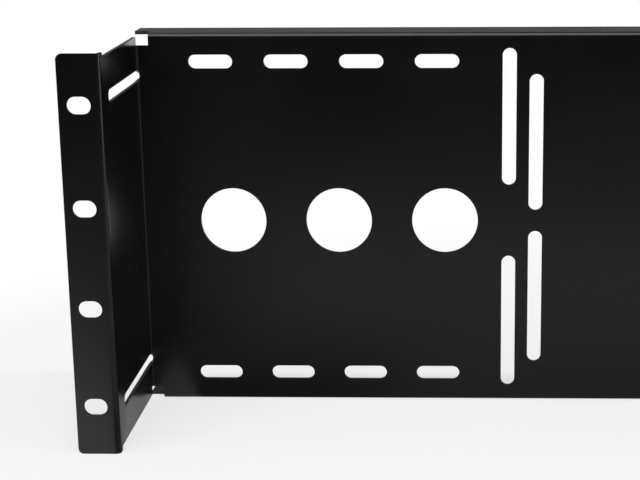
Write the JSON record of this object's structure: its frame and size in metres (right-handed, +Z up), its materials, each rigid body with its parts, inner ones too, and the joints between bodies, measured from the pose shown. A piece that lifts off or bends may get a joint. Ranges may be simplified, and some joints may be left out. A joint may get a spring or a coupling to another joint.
{
  "type": "rack monitor mounting bracket",
  "caption": "Folded steel bracket whose ears bolt to a server rack's rails and whose recessed, slotted plate carries a flat monitor.",
  "frame": {"origin": "middle of the rack slots, on the rear face of the ears, which lies on the rack's rails", "axes": "+X to the right across the rack seen from the front, +Y back into the rack, +Z up"},
  "size_m": [0.4826, 0.1, 0.177],
  "materials": {
    "black_coating": "satin"
  },
  "bodies": {
    "root": {"bracket": "black_coating"}
  },
  "joints": []
}
